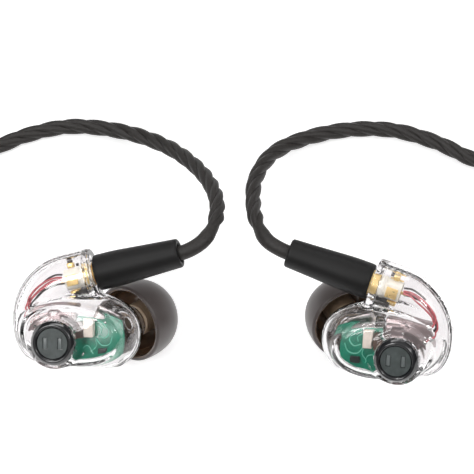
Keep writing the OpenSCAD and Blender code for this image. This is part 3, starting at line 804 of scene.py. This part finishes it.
PLUG_R, PLUG_BORE, GROOVE_R, FLANGE_R = 1.34, 0.85, 1.05, 1.9
PLUG = lathe([(PLUG_BORE, -2.9), (1.2, -2.9), (PLUG_R, -2.7), (PLUG_R, -1.9),
              (GROOVE_R, -1.9), (GROOVE_R, -1.3), (PLUG_R, -1.3), (PLUG_R, 0.15),
              (FLANGE_R, 0.15), (FLANGE_R, 4), (PLUG_BORE, 4)], 64)
SNAP_RING = tube(np.array([(x, y, -1.6) for x, y in arc_points(0, 0, 1.235, 16, 328, 59)]),
                 0.13, 8)


def board_outline():
    """The board fills the oval cavity, up to a top edge that drops beside the drivers."""
    inner_len, inner_r = BODY_LEN / 2 - BODY_WALL, BODY_DIA / 2 - BODY_WALL
    low, high = [], []
    for x in [*np.linspace(-1.6, 5.8, 24), 6.2, 6.5, 6.7, 6.8]:
        r = inner_r * (1 - abs(x / inner_len) ** FULLNESS) ** (1 / FULLNESS)
        half = sqrt(r * r - BOARD_Z ** 2) - 0.15
        low.append((x, BODY_AT[1] - half))
        top = 1.9 - 0.02 * x * x if x > 0.3 else -1.35
        high.append((x, min(top, BODY_AT[1] + half)))
    return low + high[::-1]


def wires(*rows, per_span=10, sides=10):
    """Wires as one shape, each given by its radius and its points."""
    return joined([tube(catmull(points, per_span), radius, sides) for radius, points in rows])


def blob(x, y, z, r):
    """A drop of solder."""
    profile = [(0, 0), (r, 0), (r * 0.92, r * 0.35), (r * 0.5, r * 0.62), (0, r * 0.7)]
    return placed(lathe(profile, 24), (x, y, z))


def driver(size, spout, at, turn=0):
    """A balanced-armature driver: a metal case, its lid's joint and the sound outlet."""
    x, y, z = size
    case = boxes((size, 0.28, (0, 0, 0)),
                 ((x - 0.5, y - 0.5, 0.12), 0.2, (0.25, 0.25, z - 0.04)),
                 ((x + 0.08, y + 0.08, 0.14), 0.28, (-0.04, -0.04, z * 0.52)))
    bore = spout / 2 - 0.12
    verts, faces = lathe([(bore, 0), (spout / 2, 0), (spout / 2, 0.7), (bore, 0.7)], 32)
    outlet = Matrix.Translation((x - 0.05, y / 2, z / 2)) @ Matrix.Rotation(pi / 2, 4, "Y")
    return placed(joined([case, (moved(outlet, verts), faces)]), at, turn)


BOARD = slab(board_outline(), BOARD_Z - 0.5, BOARD_Z, 0.06)
TRACES = wires(*[(radius, [(x, y, BOARD_Z + 0.03) for x, y in points]) for radius, points in (
    (0.09, [(2.1, 0.9), (3.3, 1.3), (4.6, 0.6), (5.1, -0.6), (4.4, -1.5), (3.4, -1.2)]),
    (0.09, [(3.0, -1.6), (3.9, -2.6), (5.2, -2.4), (5.8, -1.2)]),
    (0.07, [(2.2, -3.6), (3.1, -2.7), (3.0, -1.9)]),
    (0.07, [(0.8, -3.1), (1.8, -2.7), (2.6, -3.9)]),
    (0.07, [(3.2, 0.4), (3.9, -0.1), (3.8, -0.8)]))], per_span=8, sides=6)
PADS = joined([blob(-6.4, 2.2, 1.72, 0.42), blob(-6.35, 0.2, 1.72, 0.4),
               blob(3.1, 1.3, BOARD_Z, 0.28), blob(4.6, 1.0, BOARD_Z, 0.22),
               blob(1.0, -3.9, BOARD_Z, 0.26)])
WOOFER = driver((6.6, 3.7, 2.9), 1.4, (-6.6, -1.2, -1.2))
MIDRANGE = driver((4.4, 2.7, 2), 1.1, (-4.6, -4.3, -1.8))
TWEETER = driver((3.6, 2.2, 1.8), 0.9, (1.9, 0.6, -2.6), -20)
RED = wires(
    (0.15, [(-2.2, 7.0, 0.5), (-3.2, 6.95, 0.75), (-4.6, 6.4, 0.95), (-6.2, 5.1, 1.1),
            (-7.1, 3.6, 1.2), (-6.9, 2.6, 1.5), (-6.5, 2.2, 1.85)]),
    (0.13, [(-2.2, 6.6, 0.1), (-3.6, 6.5, 0.35), (-5.2, 5.5, 0.75), (-6.3, 4.4, 0.9),
            (-7.35, 2.9, 1.0), (-7.2, 1.0, 1.3), (-6.5, 0.4, 1.85)]),
    (0.13, [(-2.2, 6.8, 0.9), (-3.4, 6.5, 1.2), (-4.3, 5.9, 1.5), (-5.6, 4.9, 1.5),
            (-6.6, 3.8, 1.4), (-6.9, 2.9, 1.1)]))
BLACK = wires(
    (0.2, [(-2.0, 6.0, -1.1), (-3.7, 5.7, -1.2), (-5.6, 4.7, -1.0), (-6.9, 2.9, -0.6),
           (-7.1, 1.4, -0.2)]),
    (0.14, [(-2.2, 7.4, 0.3), (-3.3, 7.3, 0.2), (-4.6, 6.6, 0.2), (-5.4, 5.9, 0.1)]))
TUBES = wires(
    (0.5, [(0.85, 0.65, 0.25), (1.6, 0.3, 0.2), (2.5, -0.8, -0.4), (3.5, -1.8, -1.8)]),
    (0.45, [(0.65, -2.95, -0.8), (1.4, -2.95, -0.9), (2.2, -2.8, -1.2), (3, -2.5, -1.9)]))
ON_BOARD = BOARD_Z + 0.02
CREAM = boxes(((1.4, 2.8, 1.6), 0.12, (1.5, -1.25, ON_BOARD)))
BROWN = boxes(((0.95, 2.4, 1.4), 0.12, (0.4, -1.45, ON_BOARD)))
CHIP = boxes(((1.4, 0.9, 0.5), 0.12, (3.4, -3.9, ON_BOARD)))

# the jack in the socket's own frame: a ring at the face, and contact plates on a neck
JACK_BORE, JACK_R, NECK_R, COLLAR_R = 1.42, 1.69, 1.52, 1.66
JACK_FACE = 0.9  # the ring's length
JACK = joined([
    lathe(rounded([(JACK_BORE, -JACK_FACE), (JACK_R, -JACK_FACE), (JACK_R, -0.06),
                   (JACK_BORE, -0.06)], 0.06), 64),
    boxes(((0.35, 2.5, 2.0), 0.08, (1.5, -1.15, -4.15)),
          ((0.35, 1.5, 1.7), 0.08, (-1.85, -0.75, -4.0)),
          ((1.3, 0.75, 0.9), 0.15, (-0.65, 1.62, -3.6)),
          ((1.6, 0.6, 1.3), 0.12, (-0.6, -2.25, -4.1)))])
JACK_NECK = lathe(rounded([
    (JACK_BORE, -4.35), (NECK_R, -4.35), (NECK_R, -1.95), (COLLAR_R, -1.9),
    (COLLAR_R, -1.5), (NECK_R, -1.45), (NECK_R, -1.15), (1.62, -1.1),
    (1.62, -JACK_FACE), (JACK_BORE, -JACK_FACE)], 0.04), 64)
JACK_CLIPS = boxes(((0.7, 0.4, 0.7), 0.1, (-0.35, 2.38, -3.5)),
                   ((0.5, 0.45, 0.5), 0.1, (0.8, 1.65, -2.6)),
                   ((0.45, 0.5, 0.6), 0.1, (1.56, -0.9, -3.2)))
SEAL = slab([*arc_points(0, 0, ARM_R - WALL - 0.06, 218, 104, 23),
             (1.5, -1.72), (0.6, -1.9), (-0.7, -1.75), (-1.5, -1.9)], -3.3, -1.06, 0.12)

# what piece() takes after the side
PIECES = [
    *[(name, shape, HERE, "shell", "clear_shell", name, "monitor", 40)
      for name, shape in SHELLS.items()],
    ("vent_ring", RING, AT_VENT, "ring", "gloss_black", "vent_ring"),
    ("vent_inlays", INLAYS, AT_VENT, "inlay", "smoked_disc"),
    ("ear_tip", TIP, AT_NOZZLE, TIP_MATS, "silicone_tip", "ear_tip", "tip", 50, TIP_FACES),
    ("boot", BOOT, AT_SOCKET, "boot", "boot_rubber", "boot", "cable", 50),
    ("plug", PLUG, AT_SOCKET, "gold", "gold", "plug", "cable"),
    ("snap_ring", SNAP_RING, AT_SOCKET, "gold", "gold", "snap_ring", "ring"),
    ("circuit_board", BOARD, HERE, "board", "green_board", "circuit_board"),
    ("traces", TRACES, HERE, "trace", "green_board"),
    ("solder_pads", PADS, HERE, "solder", "driver_steel"),
    ("woofer", WOOFER, HERE, "mauve", "driver_mauve", "woofer"),
    ("midrange", MIDRANGE, HERE, "steel", "driver_steel", "midrange"),
    ("tweeter", TWEETER, HERE, "steel", "driver_steel", "tweeter"),
    ("red_wires", RED, HERE, "red", "red_wire", "red_wire"),
    ("black_wires", BLACK, HERE, "black", "black_wire", "black_wire"),
    ("sound_tubes", TUBES, HERE, "tube", "clear_tube", "sound_tubes"),
    ("jack_gold", JACK, AT_SOCKET, "gold", "gold", "jack"),
    ("jack_neck", JACK_NECK, AT_SOCKET, "white", "white_insulator"),
    ("jack_clips", JACK_CLIPS, AT_SOCKET, "black", "black_wire"),
    ("potting", SEAL, AT_SOCKET, "potting", "black_potting", "arm_seal"),
    ("cream_block", CREAM, HERE, "cream", "ceramic_cream", "capacitors"),
    ("brown_block", BROWN, HERE, "brown", "ceramic_cream"),
    ("dark_chip", CHIP, HERE, "chip", "ceramic_cream"),
]
for side in SIDES:
    for row in PIECES:
        obj = piece(side, *row)
        obj.visible_shadow = row[3] not in ("shell", "tube")

# ---- the other CAD nodes' looks
CAD_MATS = {"vent_disc": "disc", "jack_insulator": "white", "jack_pin": "gold",
            "damper": "damper", "nozzle_mesh": "mesh", "plug_core": "white"}
for side in SIDES:
    for name, mat in CAD_MATS.items():
        obj = frame["nodes"][f"{side}_{name}"]
        for material_slot in obj.material_slots:
            material_slot.material = MATS[mat]

# ---- pieces on the cable
ALONG_X = Matrix(((0, 0, 1, 0), (0, 1, 0, 0), (-1, 0, 0, 0), (0, 0, 0, 1)))


def cable_piece(name, shape, matrix, mat, node, body="cable", angle=40):
    """A piece of the cable, given in mm, in the place of a CAD node."""
    verts, faces = shape
    world = moved(Matrix.Scale(MM, 4) @ matrix, verts)
    obj = add_object(name, world, faces, [mat], body, angle)
    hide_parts(node)
    return obj


def with_holes(outline, holes, low, high, bevel):
    """An outline (x, y) made solid from low to high, with round holes (y, r) cut in it."""
    shapes = [slab(outline, low, high, bevel)]
    for y, r in holes:
        drill = lathe([(0, low - 1), (r, low - 1), (r, high + 1), (0, high + 1)], 48)
        shapes.append(placed(drill, (0, y, 0)))
    objs = []
    for verts, faces in shapes:
        mesh = bpy.data.meshes.new("cut")
        mesh.from_pydata([tuple(v) for v in verts], [], faces)
        objs.append(new_object("cut", mesh))
    solid, *drills = objs
    for drill in drills:
        cut = solid.modifiers.new("cut", "BOOLEAN")
        cut.operation = "DIFFERENCE"
        cut.solver = "EXACT"
        cut.object = drill
    result = solid.evaluated_get(bpy.context.evaluated_depsgraph_get()).to_mesh()
    shape = (np.array([v.co[:] for v in result.vertices]),
             [list(p.vertices) for p in result.polygons])
    for obj in objs:
        bpy.data.objects.remove(obj)
    return shape


# the slider: straight between two round ends, with a hole for each leg
TWIN_R, LEG_HOLE_R, SLIDER_LEN = 2.2, 1.28, 6
SLIDER = with_holes(arc_points(0, RUN_GAP, TWIN_R, 0, 180, 14)
                    + arc_points(0, -RUN_GAP, TWIN_R, 180, 180, 14),
                    [(-RUN_GAP, LEG_HOLE_R), (RUN_GAP, LEG_HOLE_R)], 0, SLIDER_LEN, 0.3)
slider = cable_piece("chin_slider_piece", SLIDER,
                     Matrix.Translation((-9.5, RUN_Y, RUN_Z)) @ ALONG_X, "boot",
                     "chin_slider", "slider")


def split_block():
    """The twin section that narrows to one round end with three grooves."""
    rings = []
    count = 64
    for x in [0, 0.12, 0.4, *np.linspace(0.8, 4, 5), *np.linspace(4.4, 8.6, 16), 8.85, 9]:
        gap = RUN_GAP * (1 - ease((x - 3.4) / 3.2))
        r = TWIN_R - 0.5 * ease((x - 4) / 4.6)
        if x > 5.6:
            r -= 0.16 * (0.5 - 0.5 * cos(2 * pi * (x - 5.6)))
        r -= 0.35 * max(0, 1 - x / 0.4) ** 2 + 0.3 * max(0, (x - 8.7) / 0.3) ** 2
        for k in range(count):
            a = 2 * pi * k / count
            shift = gap * max(-1, min(1, sin(a) * 6))
            rings.append((x, r * sin(a) + shift, r * cos(a)))
    verts = np.array(rings)
    return verts, outward(verts, ring_faces(len(rings) // count, count))


split_piece = cable_piece("split_block_piece", split_block(),
                          Matrix.Translation((-3, RUN_Y, RUN_Z)), "boot",
                          "split_block", angle=50)

# the headphone plug
PLUG_AT = (Matrix.Translation(PLUG_BASE) @ Matrix.Rotation(radians(PLUG_TURN), 4, "Z")
           @ Matrix.Rotation(-pi / 2, 4, "X"))
RELIEF_LEN, GRIP_LEN, PIN_R, SLEEVE_TOP = 7, 15, 1.75, 6.3
GRIP_R, GROOVED_R, RIB_R = 3.3, 3.1, 3.25
AT_GRIP = PLUG_AT @ Matrix.Translation((0, 0, RELIEF_LEN))
AT_PIN = AT_GRIP @ Matrix.Translation((0, 0, GRIP_LEN))


def relief():
    """A tapered, ribbed sleeve."""
    profile = [(0, 0), (1.55, 0), (1.7, 0.15)]
    for z in np.linspace(0.9, 6.2, 60):
        wave = 0.5 - 0.5 * cos(2 * pi * (z - 0.9) / 1.325)
        profile.append((1.78 + 0.13 * z - 0.3 * wave, z))
    return lathe(profile + [(2.7, 6.6), (2.7, RELIEF_LEN), (0, RELIEF_LEN)], 72)


def pin(radius, height, edge=0.0):
    profile = [(0, 0), (radius, 0), (radius, height), (0, height)]
    return lathe(rounded(profile, edge) if edge else profile, 72)


GRIP = lathe(rounded([
    (0, 0), (2.8, 0), (GRIP_R, 0.6), (GRIP_R, 4), (GROOVED_R, 4.3), (GROOVED_R, 5.2),
    (RIB_R, 5.4), (RIB_R, 6.1), (GROOVED_R, 6.3), (GROOVED_R, 7.1), (RIB_R, 7.3), (RIB_R, 8),
    (GROOVED_R, 8.2), (GROOVED_R, 9.7), (GRIP_R, 10), (GRIP_R, GRIP_LEN - 1),
    (2.7, GRIP_LEN), (0, GRIP_LEN)], 0.15))
POINT = lathe(rounded([
    (0, 0), (PIN_R, 0), (PIN_R, 0.4), (1.2, 1), (1.2, 1.3), (1.65, 2), (1.65, 2.3),
    (0.85, 3.7), (0.45, 4.1), (0, 4.1)], 0.12), 72)
CONTACTS = joined([pin(PIN_R, SLEEVE_TOP, 0.06), placed(pin(PIN_R, 2.4, 0.06), (0, 0, 6.9)),
                   placed(POINT, (0, 0, 9.9))])
INSULATOR = pin(PIN_R - 0.02, 0.6)
INSULATORS = joined([placed(INSULATOR, (0, 0, z)) for z in (SLEEVE_TOP, SLEEVE_TOP + 3)])
plug_pieces = [
    cable_piece("plug_" + name, shape, at, mat, "headphone_plug_" + name)
    for name, shape, at, mat, slot in (
        ("relief", relief(), PLUG_AT, "boot", "boot_rubber"),
        ("grip", GRIP, AT_GRIP, "grip", "plug_grip"),
        ("contacts", CONTACTS, AT_PIN, "gold", "gold"),
        ("insulators", INSULATORS, AT_PIN, "ring", "gloss_black"))]

# the straps round the coils
STRAP_ARC, STRAP_STEPS = 22, 8  # degrees of the coil
STRAP_EDGE, STRAP_THICK = 0.9, 0.42


def strap_shape(mid, width, height):
    """A band closed round a coil: a rounded section swept along a short arc, with a flap."""
    half_w, half_h = width / 2 + 0.3, height / 2 + 0.25
    section = []
    for cx, cy, start in ((1, 1, 0), (-1, 1, 90), (-1, -1, 180), (1, -1, 270)):
        section += arc_points(cx * (half_w - STRAP_EDGE), cy * (half_h - STRAP_EDGE),
                              STRAP_EDGE, start, 90, 8)
    section = np.array(section)
    inner = section * [1 - STRAP_THICK / half_w, 1 - STRAP_THICK / half_h]
    along = np.arange(len(section)) / len(section)
    flap = 0.02 * np.maximum(0, np.sin(2 * pi * (along - 0.08)))
    outer = section * (1 + flap)[:, None]
    angles = np.radians(np.linspace(-STRAP_ARC / 2, STRAP_ARC / 2, STRAP_STEPS + 1))
    verts = []
    for ring, sign, way in ((outer, -1, angles), (inner, 1, angles[::-1])):
        for i, a in enumerate(way):
            thin = 0.016 * sign if i in (0, STRAP_STEPS) else 0
            x = mid + ring[:, 0] * (1 + thin)
            verts.append(np.c_[x * cos(a), x * sin(a), ring[:, 1]])
    faces = ring_faces(len(verts), len(section), loop=True)
    verts = np.vstack(verts)
    return verts, outward(verts, faces)


def strap(centre, mid, width, height, at):
    """A strap on a coil, at an angle in degrees."""
    verts, faces = strap_shape(mid, width, height)
    place = Matrix.Translation((*centre, COIL_FLOOR + height / 2))
    return moved(place @ Matrix.Rotation(radians(at), 4, "Z"), verts), faces


leg_strap = cable_piece("leg_coil_strap", strap(LEG_COIL, 14.2, 10, 5, -70), HERE, "strap",
                        "leg_coil_tie", angle=60)
trunk_straps = cable_piece(
    "trunk_coil_straps", joined([strap(TRUNK_COIL, 15.4, 15.4, 5.8, at) for at in (30, 210)]),
    HERE, "strap", "trunk_coil_ties", angle=60)

# ---- the legs' sleeves beside the boots
for side in SIDES:
    start = [socket_point(side, SEAT_ALONG + s) for s in (0.02, LEG_LEAD)]
    line = even(catmull(start + LEG_ROUTES[side][:8], 12), SLEEVE_STEP)[0]
    line = line[:round(SLEEVE_LEN / SLEEVE_STEP)]
    radius = np.full(len(line), SLEEVE_R)
    radius[-9:] = np.linspace(SLEEVE_R, SLEEVE_END_R, 9)
    verts, faces = tube(line * MM, radius * MM, 32)
    sleeve = add_object(side + "_sleeve", verts, faces, ["cable"], "cable",
                        50)
    cord, path, length = cords[side]
cord, path, length = cords["trunk"]

# ---- floor and light, m
FLOOR_HALF = 1.5
floor_mesh = bpy.data.meshes.new("floor")
floor_mesh.from_pydata([(x * FLOOR_HALF, y * FLOOR_HALF, 0)
                        for x, y in ((-1, -1), (1, -1), (1, 1), (-1, 1))], [], [(0, 1, 2, 3)])
floor = new_object("floor", floor_mesh)
floor_mat, tree, bsdf = new_material("floor")
feed(tree, bsdf, {"Base Color": (0.93, 0.93, 0.93, 1), "Roughness": 0.85,
                  "Specular IOR Level": 0.2, "Emission Color": (1, 1, 1, 1),
                  "Emission Strength": 0.55})
floor_mesh.materials.append(floor_mat)


def area_light(name, at, size, power, aim=(0, 0.02, 0)):
    data = bpy.data.lights.new(name, "AREA")
    data.shape = "RECTANGLE"
    data.size, data.size_y = size
    data.energy = power
    obj = new_object(name, data)
    obj.location = at
    obj.rotation_euler = (Vector(aim) - Vector(at)).to_track_quat("-Z", "Y").to_euler()
    return obj


area_light("key", (-0.35, -0.25, 0.65), (0.22, 0.22), 1.5)
area_light("fill", (0.45, 0.05, 0.55), (0.3, 0.4), 0.8)
area_light("back", (0.0, 0.55, 0.4), (0.6, 0.12), 0.9)
for name, at, size, power in (("spark_left", (-0.2, 0.12, 0.5), (0.05, 0.12), 0.5),
                              ("spark_right", (0.25, -0.1, 0.45), (0.05, 0.1), 0.4)):
    area_light(name, at, size, power, (0, 0.01, 0.01)).visible_diffuse = False

scene.world = bpy.data.worlds.new("world")
scene.world.use_nodes = True
tree = scene.world.node_tree
up = add_node(tree, "SeparateXYZ", Vector=add_node(tree, "TexCoord").outputs["Generated"])
ramp = add_node(tree, "ValToRGB", Fac=up.outputs[2])
stops = ramp.color_ramp.elements
stops[0].position, stops[0].color = 0.0, (0.05, 0.05, 0.05, 1)
stops[1].position, stops[1].color = 0.95, (0.75, 0.75, 0.75, 1)
stops.new(0.45).color = (0.16, 0.16, 0.16, 1)
feed(tree, tree.nodes["Background"], {"Color": ramp.outputs[0], "Strength": 1.0})
scene.view_settings.view_transform = "Standard"
